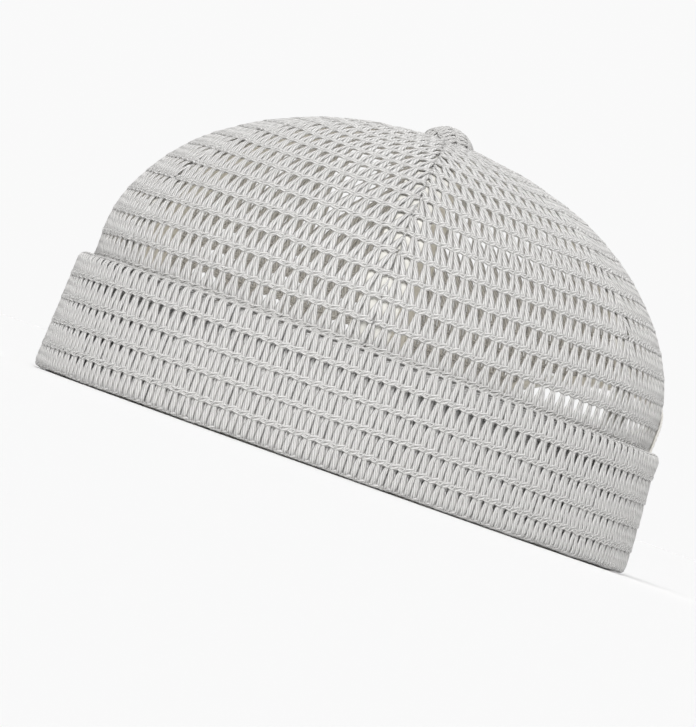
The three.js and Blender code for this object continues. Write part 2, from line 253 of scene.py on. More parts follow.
def ribbon_section(half_width, half_thick, columns):
    """A flat strip's section with round edges, as (across, out)."""
    face = np.linspace(-1, 1, columns) * (half_width - half_thick)
    turn = np.radians([45, 0, -45])
    edge_x = half_width - half_thick + half_thick * np.cos(turn)
    edge_y = half_thick * np.sin(turn)
    x = np.concatenate([face, edge_x, face[::-1], -edge_x[::-1]])
    thick = np.full(columns, half_thick)
    y = np.concatenate([thick, edge_y, -thick, edge_y[::-1]])
    return np.stack([x, y], -1)


def swept(route, out, section):
    """A section carried along a route of points, with the way out at each point."""
    along = unit(np.gradient(route, axis=0))
    across = unit(np.cross(along, out))
    level = np.cross(across, along)
    wide = section[..., :1] * across[:, None, :]
    thick = section[..., 1:] * level[:, None, :]
    return tube(route[:, None, :] + wide + thick)


def repeated(template, placed):
    """Copies of a template whose points, shape (copies, points, 3), are already placed."""
    copies, count = placed.shape[:2]
    starts = (np.arange(copies) * count)[:, None, None]
    quads = (template[1][None] + starts).reshape(-1, 4)
    uvs = np.tile(template[2], (copies, 1, 1))
    return placed.reshape(-1, 3), quads, uvs


def add_object(name, data):
    added = bpy.data.objects.new(name, data)
    bpy.context.scene.collection.objects.link(added)
    return added


def claim(piece, nodes):
    """Says which body a piece rides on and which nodes it stands for."""
    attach(piece, BODY)
    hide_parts(*nodes)


def make_piece(name, shape, material, nodes):
    """A piece of the cap, made from a shape."""
    points, quads, uvs = shape
    mesh = bpy.data.meshes.new(name)
    mesh.vertices.add(len(points))
    mesh.vertices.foreach_set("co", (points * MM).astype(np.float32).ravel())
    mesh.loops.add(quads.size)
    mesh.loops.foreach_set("vertex_index", quads.astype(np.int32).ravel())
    mesh.polygons.add(len(quads))
    mesh.polygons.foreach_set("loop_start", np.arange(0, quads.size, 4, dtype=np.int32))
    layer = mesh.uv_layers.new(name="along")
    layer.data.foreach_set("uv", uvs.astype(np.float32).ravel())
    mesh.update(calc_edges=True)
    mesh.shade_smooth()
    mesh.materials.append(material)
    piece = add_object(name, mesh)
    claim(piece, nodes)
    return piece


# Knit stitches in the flat cloth: x across, y up, z outward

LEG_SECTION = np.array([[1.0, 0.0], [0.5, 0.9], [-0.5, 0.9], [-1.0, 0.0], [-0.5, -0.8], [0.5, -0.8]])


def round_section(sides):
    turn = 2 * np.pi * np.arange(sides) / sides
    return np.stack([np.cos(turn), np.sin(turn)], -1)


def leg(side, hole, slit):
    """One leg of a stitch; side is 1 or -1, hole is the hole's lowest point and half width."""
    low, half_hole = hole
    y = np.linspace(LEG_LOW, LEG_HIGH, LEG_STEPS)
    inner = half_hole * np.clip((y - low) / (HOLE_TOP - 0.5 - low), 0, 1) ** 0.85
    outer = WALE / 2 - slit / 2 * np.exp(-((y + 1.5) / 1.7) ** 4)
    ends = np.array([LEG_FOOT_SHARE] + [1.0] * (LEG_STEPS - 2) + [LEG_TOP_SHARE])
    half = (outer - inner) / 2 * ends
    x = (outer + inner) / 2
    x[0] = LEG_FOOT_X
    z = 0.05 + 0.08 * np.cos(np.pi * y / ROW)
    z[[0, -1]] = LEG_END_Z
    thick = LEG_HALF_THICK * ends
    route = np.stack([side * x, y, z], -1)
    return yarn(route, half, thick, LEG_SECTION)


STRAND_SECTION = round_section(STRAND_SIDES)


def chain_strand(level, rise, lift):
    """A strand along the top of a row, from half a wale before the stitch to half after."""
    x = (WALE / 2 + STRAND_OVERLAP) * np.linspace(-1, 1, STRAND_STEPS)
    wave = np.cos(2 * np.pi * x / WALE)
    route = np.stack([x, level + rise * wave, lift + 0.08 * wave], -1)
    half = np.full(STRAND_STEPS, CHAIN_HALF)
    return yarn(route, half, STRAND_FLATNESS * half, STRAND_SECTION)


def chain_cross(middle_x):
    """A short strand slung over the chain."""
    share = np.linspace(-1, 1, 4)
    x = middle_x + 0.95 * share
    y = CHAIN_Y + 1.1 * share
    z = 0.42 - 0.4 * share ** 2
    half = 0.36 - 0.06 * share ** 2
    return yarn(np.stack([x, y, z], -1), half, 0.75 * half, STRAND_SECTION)


def under_strand(hole):
    """A strand of the cloth behind, seen in the lower part of a stitch's hole."""
    share = np.linspace(0, 1, 5)
    y = hole[0] - 1.5 + (HOLE_TOP - hole[0] + 0.6) * share
    z = -0.3 - 0.3 * share ** 3
    half = 0.62 * hole[1] * (1 - 0.3 * share ** 4)
    route = np.stack([0 * share, y, z], -1)
    return yarn(route, half, STRAND_FLATNESS * half, STRAND_SECTION)


def stitch_parts(hole, slit, backed):
    """Each part of a stitch, with the place in the stitch that says whether it's kept."""
    parts = [(leg(side, hole, slit), (side * LEG_KEY_X, 0.0)) for side in (-1, 1)]
    parts += [(chain_strand(*strand), (0.0, CHAIN_KEY_Y)) for strand in CHAIN_STRANDS]
    parts += [(chain_cross(x), (x, CHAIN_KEY_Y)) for x in (0.0, WALE / 2)]
    if backed:
        parts.append((under_strand(hole), (0.0, 0.0)))
    return parts


def knitted(centres, hole, slit, kept, place, backed=False):
    """Stitches at centres in the flat cloth, less the parts that fall outside it."""
    shapes = []
    shift = rng.uniform(-JITTER, JITTER, (len(centres), 3))
    lean = rng.uniform(-STITCH_LEAN, STITCH_LEAN, len(centres))
    for template, (x, y) in stitch_parts(hole, slit, backed):
        inside = kept(centres[:, 0] + x, centres[:, 1] + y)
        if not inside.any():
            continue
        points = template[0][None] + shift[inside, None, :]
        u = points[..., 0] + centres[inside, 0][:, None] + lean[inside, None] * points[..., 1]
        v = points[..., 1] + centres[inside, 1][:, None]
        shapes.append(repeated(template, place(u, v, points[..., 2])))
    return joined(shapes)


def sewn(place, u, v, length, half, lift, turned=False):
    """Short stitches of thread on a surface at places (u, v), along v, or u if turned."""
    share = np.linspace(-1, 1, 5)
    route = np.stack([0 * share, share * length / 2, lift - 0.6 * half * share ** 4], -1)
    swell = half * np.sqrt(1 - 0.8 * share ** 4)
    template = yarn(route, swell, swell, STRAND_SECTION)
    across, along, out = template[0].T
    if turned:
        across, along = along, -across
    points = place(u[:, None] + across, v[:, None] + along, out + 0 * u[:, None])
    return repeated(template, points)


def folded(across, lift, limit, radius, depth):
    """Turns what passes the limit down round a bend; returns the new place and lift."""
    past = np.abs(across) - (limit - radius)
    turn = np.clip(past / radius, 0, np.pi / 2)
    sunk = np.clip(past - radius * np.pi / 2, 0, depth)
    reach = np.minimum(np.abs(across), limit - radius) + (radius + lift) * np.sin(turn)
    level = (radius + lift) * np.cos(turn) - radius - sunk
    return np.sign(across) * reach, level


def arch_half_angle(z):
    """The angle from the back at which the arch's edge lies at a height."""
    climb = np.clip((z - ARCH_SIDE_Z) / (ARCH_TOP_Z - ARCH_SIDE_Z), 0, 1)
    return ARCH_HALF_ANGLE * (1 - climb ** ARCH_ROUNDNESS) ** (1 / ARCH_ROUNDNESS)


def arch_share(angle, z, grow):
    """Below 1 inside the arch, 1 on its edge moved out by grow; angle is from the back."""
    across = np.abs(angle) / (ARCH_HALF_ANGLE + grow / MEAN_RADIUS)
    up = np.clip((z - ARCH_SIDE_Z) / (ARCH_TOP_Z - ARCH_SIDE_Z + grow), 0, None)
    power = ARCH_ROUNDNESS
    return (across ** power + up ** power) ** (1 / power)


def pushed_from_arch(angle, z, grow):
    """Moves what lies inside the arch out to its edge."""
    share = np.clip(arch_share(angle, z, grow), 0.2, 1)
    above = np.clip(z - ARCH_SIDE_Z, 0, None)
    return angle / share, z + above / share - above


def ripple(angle, travel):
    """The slight unevenness of the cloth, in millimetres outward."""
    slow = 0.28 * np.sin(5 * angle + 1.3) * np.sin(travel / 17 + 0.4)
    quick = 0.14 * np.sin(13 * angle - travel / 9) + 0.1 * np.sin(23 * angle + travel / 5)
    return slow + quick


# Crown

SEAM_BEND = 0.5
SEAM_DEPTH = 0.3
SEAM_KEPT = 0.6
SEAM_EASE = 0.1
BOW_SHARE = 0.5
KNIT_FOOT = 32
KNIT_TOP = 166
CROWN_HOLE = (-0.9, 1.08)
CROWN_SLIT = 0.2
HIDDEN_FOOT_Z = 1.8
HIDDEN_SHARE = 0.99


def gore_middle(number):
    return GORE_HALF_TURN * (2 * number - 1)


def seam_angle(number):
    return 2 * GORE_HALF_TURN * (number - 1)


def gore_half_span(middle):
    """Half a gore's width on the wall, along its arc."""
    angle = middle + GORE_HALF_TURN * np.linspace(-1, 1, 61)
    edge = wall_point(angle, np.full(61, float(SHOULDER_Z)), CROWN_MIDDLE)
    return line_length(edge) / 2


def bow_table():
    """How far a row has risen at the seams, for each travel up the gore."""
    travel = np.linspace(0, CROWN_TRAVEL, 300)
    mean_span = (gore_half_span(0.5) + gore_half_span(1.5)) / 2
    width = mean_span * np.cos(tilt_at(travel))
    slope = np.gradient(width, travel)
    stretch = np.sqrt(1 + slope ** 2) - 1
    return travel, BOW_SHARE * np.cumsum(stretch) * (travel[1] - travel[0])


BOW_TRAVEL, BOW = bow_table()


def crown_gore(number):
    middle = gore_middle(number)
    span = gore_half_span(middle)

    def width_at(v):
        return span * np.cos(tilt_at(v))

    def to_wall(u, v):
        share = u / np.maximum(width_at(v), 1.0)
        travel = v + np.interp(v, BOW_TRAVEL, BOW) * np.clip(share, -1, 1) ** 2
        return middle + share * GORE_HALF_TURN, travel

    def kept(u, v):
        angle, travel = to_wall(u, v)
        in_gore = np.abs(u) < width_at(v) + SEAM_KEPT
        clear = arch_share(angle - np.pi, travel, BINDING_WIDTH / 2) > 1
        return in_gore & clear & (travel < KNIT_TOP)

    def place(u, v, n):
        limit = np.maximum(width_at(v) - SEAM_EASE, SEAM_BEND)
        reach, level = folded(u, n, limit, SEAM_BEND, SEAM_DEPTH)
        angle, travel = to_wall(reach, v)
        back, travel = pushed_from_arch(angle - np.pi, travel, BINDING_WIDTH / 2)
        angle = back + np.pi
        travel = np.minimum(travel, CROWN_TRAVEL)
        level = level + ripple(angle, travel) * (travel > SHOULDER_Z)
        return crown_point(angle, travel, CROWN_MIDDLE + level)

    wales = int(round(2 * span / WALE))
    wale = 2 * span / wales
    columns = (np.arange(wales) - (wales - 1) / 2) * wale
    rows = np.arange(KNIT_FOOT + ROW / 2, KNIT_TOP, ROW)
    centres = np.stack(np.meshgrid(columns, rows), -1).reshape(-1, 2)
    return knitted(centres, CROWN_HOLE, CROWN_SLIT, kept, place)


def gore_cut(number):
    """A gore's widest width and its flat area, less the part that the arch takes."""
    middle = gore_middle(number)
    travel = np.linspace(0, CROWN_TRAVEL, 400)
    across = np.linspace(-1, 1, 81)
    half = gore_half_span(middle) * np.cos(tilt_at(travel))
    angle = middle + GORE_HALF_TURN * across[None, :] - np.pi
    cloth = arch_share(angle, travel[:, None], 0) > 1
    row_area = 2 * half * cloth.mean(1)
    return 2 * half[0], row_area.mean() * CROWN_TRAVEL


def hidden_wall(number):
    """The plain cloth of a gore behind the cuff, as far as the arch."""
    middle = gore_middle(number)
    z = np.linspace(HIDDEN_FOOT_Z, KNIT_FOOT + 1, 9)[None, :]
    first = middle - HIDDEN_SHARE * GORE_HALF_TURN + 0 * z
    last = middle + HIDDEN_SHARE * GORE_HALF_TURN + 0 * z
    arch = arch_half_angle(z) + BINDING_WIDTH / 2 / HEAD_HALF_LENGTH
    if middle < np.pi:
        last = np.minimum(last, np.pi - arch)
    else:
        first = np.maximum(first, np.pi + arch)
    share = np.linspace(0, 1, 13)[:, None]
    angle = first + (last - first) * share
    outer = wall_point(angle, z, CROWN_MIDDLE + SHEET_HALF_THICK)
    inner = wall_point(angle, z, CROWN_MIDDLE - SHEET_HALF_THICK)
    return slab(outer, inner)


# Cuff: a flat loop of cloth, up the outside and down the inside

CUFF_LOW = 1.0
CUFF_HIGH = 39.4
CUFF_END_BEND = 1.2
CUFF_END_DEPTH = 1.6
CUFF_END_EASE = 0.5
CUFF_ROWS = 6
CUFF_FIRST_ROW = -ROW / 2 - 0.2
CUFF_HOLES = ((1.1, 0.6), (1.1, 0.65), (1.0, 0.7), (0.8, 0.75), (-0.2, 0.85), (0.2, 0.8))
CUFF_SLIT = 0.06
CUFF_BACKED_ROWS = 4
CUFF_RIPPLE = 0.5
CUFF_BACK_THICK = 1.3
CUFF_BACK_INSET = 0.9
CUFF_BACK_SHORT = 1.2
CUFF_BACK_CLEAR = 4
CUFF_STRAND_FOOT = 2.5
CUFF_STRAND_TOP = 37.5
CUFF_STRAND_DEPTH = 0.8
CUFF_STRAND_HALF = 0.8
CUFF_STRAND_HALF_THICK = 0.4
CUFF_STRAND_SHORT = 1.6
CUFF_FOLD_RADIUS = (CUFF_FACE - CUFF_BACK) / 2
CUFF_RISE = CUFF_HIGH - CUFF_LOW - 2 * CUFF_FOLD_RADIUS


def ellipse_travel(offset):
    """Angles from the back round to the back, and the distance along the wall at each."""
    angle = np.linspace(-np.pi, np.pi, 721)
    travel = travelled(wall_point(angle, 0.0, offset))
    return angle, travel - travel[-1] / 2


CUFF_ANGLES, CUFF_TRAVEL = ellipse_travel(CUFF_FACE)


def cuff_section(v, n):
    """Offset and height at a distance v along the cuff's loop from its lowest line."""
    bend = CUFF_FOLD_RADIUS
    rise = CUFF_RISE
    middle = (CUFF_FACE + CUFF_BACK) / 2
    quarter = bend * np.pi / 2
    low_turn = np.clip(v / bend, -np.pi / 2, np.pi / 2)
    high_turn = np.clip((v - quarter - rise) / bend, 0, np.pi)
    turn = low_turn + np.where(v > 0, high_turn, 0)
    up = np.clip(v - quarter, 0, rise)
    down = np.clip(v - quarter - rise - 2 * quarter, 0, None)
    inside_up = np.clip(-v - quarter, 0, None)
    offset = middle + (bend + n) * np.sin(turn)
    z = CUFF_LOW + bend - (bend + n) * np.cos(turn) + up - down + inside_up
    return offset, z


def cuff_limit(v):
    """Half the cuff's length at a distance along its loop."""
    z = cuff_section(v, 0.0)[1]
    clear = (BINDING_WIDTH + CUFF_END_EASE) / (HEAD_HALF_LENGTH + CUFF_FACE)
    return np.interp(np.pi - arch_half_angle(z) - clear, CUFF_ANGLES, CUFF_TRAVEL)


CUFF_HALF_LENGTH = cuff_limit(0.0)


def cuff_knit(columns):
    def kept(u, v):
        return np.abs(u) < cuff_limit(v) + CUFF_END_BEND

    def place(u, v, n):
        reach, level = folded(u, n, cuff_limit(v), CUFF_END_BEND, CUFF_END_DEPTH)
        angle = np.interp(reach, CUFF_TRAVEL, CUFF_ANGLES)
        level = level + CUFF_RIPPLE * ripple(angle, v)
        offset, z = cuff_section(v, level)
        return wall_point(angle, z, offset)

    shapes = []
    for row in range(CUFF_ROWS):
        centres = np.stack([columns, np.full(len(columns), CUFF_FIRST_ROW + row * ROW)], -1)
        backed = row < CUFF_BACKED_ROWS
        shapes.append(knitted(centres, CUFF_HOLES[row], CUFF_SLIT, kept, place, backed))
    return joined(shapes)


def cuff_columns():
    half = int(CUFF_TRAVEL[-1] / WALE)
    return np.arange(-half, half + 1) * WALE


def cuff_strands(columns):
    """The second layer's strands, seen through the holes of the face."""
    z = np.linspace(CUFF_STRAND_FOOT, CUFF_STRAND_TOP, 11)
    depth = CUFF_STRAND_DEPTH + 0.5 * np.clip((z - 25) / 4, 0, 1)
    spread = STRAND_SECTION[None, :, 0] * CUFF_STRAND_HALF / HEAD_HALF_LENGTH
    out = CUFF_FACE - depth[:, None] + STRAND_SECTION[None, :, 1] * CUFF_STRAND_HALF_THICK
    shapes = []
    for column in columns[np.abs(columns) < CUFF_HALF_LENGTH - CUFF_STRAND_SHORT]:
        angle = np.interp(column + 0.3 * np.sin(z * 0.8), CUFF_TRAVEL, CUFF_ANGLES)
        shapes.append(tube(wall_point(angle[:, None] + spread, z[:, None], out)))
    return joined(shapes)


def cuff_back(side):
    """The inner layer of the cuff's loop on one side, from under its top fold to the rim."""
    z = np.linspace(CUFF_LOW + CUFF_BACK_INSET, CUFF_HIGH - CUFF_BACK_INSET, 19)[None, :]
    travel = side * np.linspace(0, CUFF_HALF_LENGTH - CUFF_BACK_SHORT, 121)[:, None]
    angle = np.interp(travel, CUFF_TRAVEL, CUFF_ANGLES)
    limit = np.pi - arch_half_angle(z) - CUFF_BACK_CLEAR / HEAD_HALF_LENGTH
    angle = np.clip(angle, -limit, limit)
    z = z + 0 * angle
    inner = wall_point(angle, z, CUFF_BACK - SHEET_HALF_THICK)
    outer = wall_point(angle, z, CUFF_BACK - SHEET_HALF_THICK + CUFF_BACK_THICK)
    return slab(outer, inner)


def cuff_cut():
    """The flat size of half the cuff: both layers with their two folds, and the length."""
    return 2 * CUFF_RISE + 2 * np.pi * CUFF_FOLD_RADIUS, CUFF_HALF_LENGTH


# Button: the same knit over a low dome

BUTTON_RADIUS = 8.6
BUTTON_BASE_Z = 111.2
BUTTON_RISE = 6.0
BUTTON_FULLNESS = 0.65
BUTTON_HOLE = (0.6, 0.6)
BUTTON_GAUGE = 0.7
BUTTON_THICKNESS = 0.8
BUTTON_EDGE = 0.3
BUTTON_ROW_SHIFT = 1.2
BUTTON_CORE_DEPTH = 0.45
BUTTON_CORE_FOOT_SHARE = 0.3


def button_profile():
    """Distance from the button's top over its cloth, with the radius and height there."""
    share = np.linspace(0, 1, 60)
    radius = BUTTON_RADIUS * share
    height = BUTTON_BASE_Z + BUTTON_RISE * (1 - share ** 2) ** BUTTON_FULLNESS
    return travelled(np.stack([radius, height], -1)), radius, height


BUTTON_TRAVEL, BUTTON_RADII, BUTTON_HEIGHTS = button_profile()


def button_place(u, v, n):
    reach = np.hypot(u, v)
    angle = np.arctan2(u, -v)
    radius = np.interp(reach, BUTTON_TRAVEL, BUTTON_RADII)
    height = np.interp(reach, BUTTON_TRAVEL, BUTTON_HEIGHTS)
    steep = np.clip(reach / BUTTON_TRAVEL[-1], 0, 1) ** 3 * np.pi / 2
    radius = radius + n * np.sin(steep)
    height = height + n * np.cos(steep)
    return np.stack([radius * np.sin(angle), -radius * np.cos(angle), height], -1)


def button_knit():
    def kept(u, v):
        return np.hypot(u, v) * BUTTON_GAUGE < BUTTON_TRAVEL[-1] - BUTTON_EDGE

    def place(u, v, n):
        return button_place(u * BUTTON_GAUGE, v * BUTTON_GAUGE, n * BUTTON_THICKNESS)

    columns = np.arange(-3, 4) * WALE
    rows = np.arange(-2, 3) * ROW + BUTTON_ROW_SHIFT
    centres = np.stack(np.meshgrid(columns, rows), -1).reshape(-1, 2)
    return knitted(centres, BUTTON_HOLE, CUFF_SLIT, kept, place)


def button_core():
    """The solid dome under the button's knit."""
    turn = 2 * np.pi * np.arange(32) / 32
    reach = (np.linspace(0.02, 1, 14) * BUTTON_TRAVEL[-1])[:, None]
    shell = button_place(-reach * np.sin(turn), -reach * np.cos(turn), -BUTTON_CORE_DEPTH)
    base = shell[-1:] * [BUTTON_CORE_FOOT_SHARE, BUTTON_CORE_FOOT_SHARE, 1.0]
    return tube(np.concatenate([shell, base]))


# Tapes under the crown's seams

TAPE_MIDDLE = 1.4
TAPE_HALF_WIDTH = 6.4
TAPE_HALF_THICK = 0.3
TAPE_TIP_TILT = math.radians(86)
TAPE_TIP_SHARE = 0.41
TAPE_FOOT_Z = 38.6
TAPE_BACK_FOOT_Z = 60.0
TAPE_PUCKER = 0.05
TAPE_PUCKER_PITCH = 4.3
TAPE_STITCH_ACROSS = 4.9
TAPE_STITCH_PITCH = 3.0
TAPE_STITCH_LENGTH = 2.1
TAPE_STITCH_FOOT = 2
TAPE_STITCH_TOP = 14
THREAD_HALF = 0.16


def tape_place(seam, v, u, n):
    """A point of a tape, u across it, v up it and n outward."""
    radius = MEAN_RADIUS * np.cos(tilt_at(v))
    turn = np.minimum(TAPE_HALF_WIDTH / radius, TAPE_TIP_SHARE) * u / TAPE_HALF_WIDTH
    wave = np.sin(2 * np.pi * v / TAPE_PUCKER_PITCH)
    pucker = TAPE_PUCKER * wave * (u / TAPE_HALF_WIDTH) ** 2
    level = pucker + ripple(seam, v) * (v > SHOULDER_Z)
    return crown_point(seam + turn, v, TAPE_MIDDLE + n + level)


def tape_travel(number):
    """Where a tape begins and ends up the crown's cloth."""
    tip = SHOULDER_Z + np.interp(TAPE_TIP_TILT, DOME_TILTS, DOME_TRAVEL)
    if number != 1 + PANELS // 2:
        return TAPE_FOOT_Z, tip
    tilt = math.asin((TAPE_BACK_FOOT_Z - SHOULDER_Z) / DOME_RISE)
    return SHOULDER_Z + np.interp(tilt, DOME_TILTS, DOME_TRAVEL), tip


def seam_tape(number):
    seam = seam_angle(number)
    foot, tip = tape_travel(number)
    travel = np.linspace(foot, tip, 121)[:, None]
    section = ribbon_section(TAPE_HALF_WIDTH, TAPE_HALF_THICK, 7)
    across, out = section.T
    return tube(tape_place(seam, travel + 0 * across, across, out))


def tape_stitches(number):
    seam = seam_angle(number)
    foot, tip = tape_travel(number)
    up = np.arange(foot + TAPE_STITCH_FOOT, tip - TAPE_STITCH_TOP, TAPE_STITCH_PITCH)

    def place(u, v, n):
        return tape_place(seam, v, u, -n)

    lift = TAPE_HALF_THICK + 0.02
    shapes = []
    for across in (-TAPE_STITCH_ACROSS, TAPE_STITCH_ACROSS):
        side = np.full(len(up), across)
        shapes.append(sewn(place, side, up, TAPE_STITCH_LENGTH, THREAD_HALF, lift))
    return joined(shapes)


# Sweatband, with the roll at its foot

BAND_MIDDLE = 0.6
BAND_HALF_THICK = 0.5
BAND_FOOT_Z = 0.5
BAND_TOP_Z = 38.0
BAND_GROOVE_Z = 25.0
BAND_COLUMNS = 161
BAND_CLEAR = 3.4
ROLL_MIDDLE = 2.0
ROLL_HALF_WIDTH = 1.5
ROLL_HALF_HEIGHT = 0.5
BAND_STITCH_Z = 2.6
BAND_STITCH_PITCH = 3.2
BAND_STITCH_LENGTH = 2.2
BAND_THREAD_HALF = 0.2

BAND_ANGLES, BAND_TRAVEL = ellipse_travel(BAND_MIDDLE)


def band_limit(z):
    return np.pi - arch_half_angle(z) - BAND_CLEAR / HEAD_HALF_LENGTH


def sweatband():
    middle_z = (BAND_FOOT_Z + BAND_TOP_Z) / 2
    section = ribbon_section((BAND_TOP_Z - BAND_FOOT_Z) / 2, BAND_HALF_THICK, 25)
    share = np.linspace(-1, 1, BAND_COLUMNS)[:, None]
    z = middle_z + section[None, :, 0] + 0 * share
    angle = share * band_limit(z)
    groove = np.exp(-((z - BAND_GROOVE_Z) / 0.7) ** 2) + np.exp(-((z - BAND_STITCH_Z) / 0.8) ** 2)
    thin = 1 - 0.3 * groove
    wave = 0.05 * np.sin(31 * angle) * np.sin(z / 6) + 0.04 * np.sin(57 * angle + z / 5)
    return tube(wall_point(angle, z, BAND_MIDDLE + section[None, :, 1] * thin + wave))


def sweatband_stitches():
    def place(u, v, n):
        angle = np.interp(u, BAND_TRAVEL, BAND_ANGLES)
        return wall_point(angle, v, BAND_MIDDLE - n)

    reach = np.interp(band_limit(BAND_STITCH_Z), BAND_ANGLES, BAND_TRAVEL) - 2
    along = np.arange(-reach, reach, BAND_STITCH_PITCH)
    height = np.full(len(along), BAND_STITCH_Z)
    lift = BAND_HALF_THICK - 0.08
    return sewn(place, along, height, BAND_STITCH_LENGTH, BAND_THREAD_HALF, lift, turned=True)


def sweatband_roll():
    share = np.linspace(-1, 1, BAND_COLUMNS)[:, None]
    angle = share * band_limit(0.0)
    section = round_section(12)
    swell = 1 + 0.05 * np.sin(61 * angle) + 0.03 * np.sin(143 * angle)
    offset = ROLL_MIDDLE + ROLL_HALF_WIDTH * section[None, :, 0] + 0 * angle
    z = ROLL_HALF_HEIGHT * (1 + section[None, :, 1] * swell / 1.09)
    return tube(wall_point(angle + 0 * offset, z, offset))


# Binding folded over the arch's edge

BINDING_FOOT_Z = 0.25
BINDING_STEPS = 90
BINDING_STEP = 1.2
BINDING_TAPE_THICK = 0.3
BINDING_SQUARENESS = 0.65
BINDING_SEAM = 2.1
BINDING_STITCH_PITCH = 2.8
BINDING_STITCH_LENGTH = 1.9

# Millimetres along the wall for a radian round it, and for a millimetre up it
WALL_SCALE = (90, 1)


def arch_edge(grow):
    """Angles from the back and heights along the arch's edge, moved out by grow."""
    foot_z = np.linspace(BINDING_FOOT_Z, ARCH_SIDE_Z, 40, endpoint=False)
    turn = np.linspace(0, np.pi / 2, BINDING_STEPS)
    arch_z = ARCH_SIDE_Z + (ARCH_TOP_Z - ARCH_SIDE_Z) * np.sin(turn)
    angle = np.concatenate([
        np.full(len(foot_z), ARCH_HALF_ANGLE + grow / MEAN_RADIUS),
        arch_half_angle(arch_z) + grow * np.cos(turn) / MEAN_RADIUS,
    ])
    z = np.concatenate([foot_z, arch_z + grow * np.sin(turn)])
    return np.concatenate([-angle, angle[-2::-1]]), np.concatenate([z, z[-2::-1]])


def binding_fold():
    """The middle line of the folded tape, its edges turned in, as (across, out)."""
    side = BINDING_WIDTH / 2 - BINDING_TAPE_THICK / 2
    level = BINDING_HALF_THICK - BINDING_TAPE_THICK / 2
    hem_x = np.array([0.6, 0.2 - side, -side, 0.2 - side])
    hem_y = np.array([level - 0.4, level - 0.4, level - 0.2, level])
    turn = np.radians(np.linspace(-90, 90, 9))
    bend_x = side * np.abs(np.cos(turn)) ** BINDING_SQUARENESS
    bend_y = level * np.sign(turn) * np.abs(np.sin(turn)) ** BINDING_SQUARENESS
    x = np.concatenate([hem_x, bend_x, hem_x[::-1]])
    y = np.concatenate([-hem_y, bend_y, hem_y[::-1]])
    return np.stack([x, y], -1)


def binding_cut():
    """The binding's flat width and length."""
    angle, z = arch_edge(BINDING_WIDTH / 2)
    return line_length(binding_fold()), line_length(wall_point(angle, z, BINDING_MIDDLE))


def arch_binding():
    angle, z = arch_edge(BINDING_WIDTH / 2)
    route = even_route(np.stack([angle, z], -1) * WALL_SCALE, BINDING_STEP) / WALL_SCALE
    angle, z = route.T
    middle = wall_point(np.pi + angle, z, BINDING_MIDDLE)
    out = wall_point(np.pi + angle, z, BINDING_MIDDLE + 1) - middle
    fold = binding_fold()
    along = unit(np.gradient(fold, axis=0))
    normal = np.stack([along[:, 1], -along[:, 0]], -1) * BINDING_TAPE_THICK / 2
    section = np.concatenate([fold + normal, (fold - normal)[::-1]])
    steps = np.arange(len(route))[:, None]
    turn = np.arctan2(section[:, 1], section[:, 0])
    swell = 0.96 + 0.02 * np.sin(steps * 2.3 + 3 * np.sin(turn)) + 0.02 * np.sin(steps * 0.9)
    return swept(middle, out, section[None] * swell[..., None])


def binding_stitches():
    angle, z = arch_edge(BINDING_SEAM)
    angle_beside, z_beside = arch_edge(BINDING_SEAM + 1)
    travel = travelled(wall_point(angle, z, BINDING_MIDDLE))

    def place(u, v, n):
        back = np.interp(v, travel, angle) * (1 - u) + np.interp(v, travel, angle_beside) * u
        height = np.interp(v, travel, z) * (1 - u) + np.interp(v, travel, z_beside) * u
        return wall_point(np.pi + back, height, BINDING_MIDDLE + n)

    v = np.arange(2.0, travel[-1] - 2, BINDING_STITCH_PITCH)
    lift = BINDING_HALF_THICK - 0.05
    return sewn(place, 0 * v, v, BINDING_STITCH_LENGTH, THREAD_HALF, lift)


# Straps across the arch, and the slider that joins them

STRAP_HALF_WIDTH = 12.45
STRAP_HALF_THICK = 0.62
STRAP_MIDDLE_Z = 14.5
STRAP_OFFSET = 1.5
STRAP_END_GAP = 0.4
STRAP_FLAT_DROP = 0.5
STRAP_FLAT_HALF = 13
STRAP_BOW = 1.5
STRAP_BEND = 1.2
STRAP_OVER = 4.5
STRAP_TAIL = -1.6
TAIL_REACH = 17
FOLD_REACH = 29
FOLD_LEVEL = 1.5
RIB_PITCH = 0.9
RIB_DEPTH = 0.14
STRAP_SEAM_X = -27.4
STRAP_SEAM_PITCH = 2.1
STRAP_STITCH_PITCH = 2.4
STRAP_STITCH_LENGTH = 1.7
STRAP_THREAD_HALF = 0.24
SLIDER_X = -2
SLIDER_HALF_WIDTH = 11.2
SLIDER_BAR = 2.8
SLIDER_MIDDLE_HALF = 4
SLIDER_THICK = 2.6
SLIDER_RAIL = 1.5
SLIDER_CORNER = 2.6
SLIDER_BEVEL = 0.45
SLOT_EASE = 0.35
PEG_X = -3.5
PEG_Z = 18.0
PEG_RADIUS = 0.95
BAR_EASE = 0.15
BAR_IN = 0.95
SIDE_INNER = SLIDER_HALF_WIDTH - SLIDER_BAR

STRAP_BACK = HEAD_HALF_LENGTH + STRAP_OFFSET
STRAP_END_ANGLE = ARCH_HALF_ANGLE - STRAP_END_GAP / STRAP_BACK
STRAP_END_X = (HEAD_HALF_WIDTH + STRAP_OFFSET) * math.sin(STRAP_END_ANGLE)
STRAP_END_Y = STRAP_BACK * math.cos(STRAP_END_ANGLE)


def strap_line(x):
    """The strap's distance back, straight where the slider is and bowed on to the wall."""
    straight = STRAP_BACK - STRAP_FLAT_DROP
    away = x - SLIDER_X
    bowed = np.clip(np.abs(away) - STRAP_FLAT_HALF, 0, None)
    reach = STRAP_END_X - SLIDER_X * np.sign(away) - STRAP_FLAT_HALF
    return straight - (straight - STRAP_END_Y) * (bowed / reach) ** STRAP_BOW


def strap_run(from_x, to_x, level):
    x = np.linspace(from_x, to_x, 40)
    return np.stack([x, strap_line(x) + level], -1)


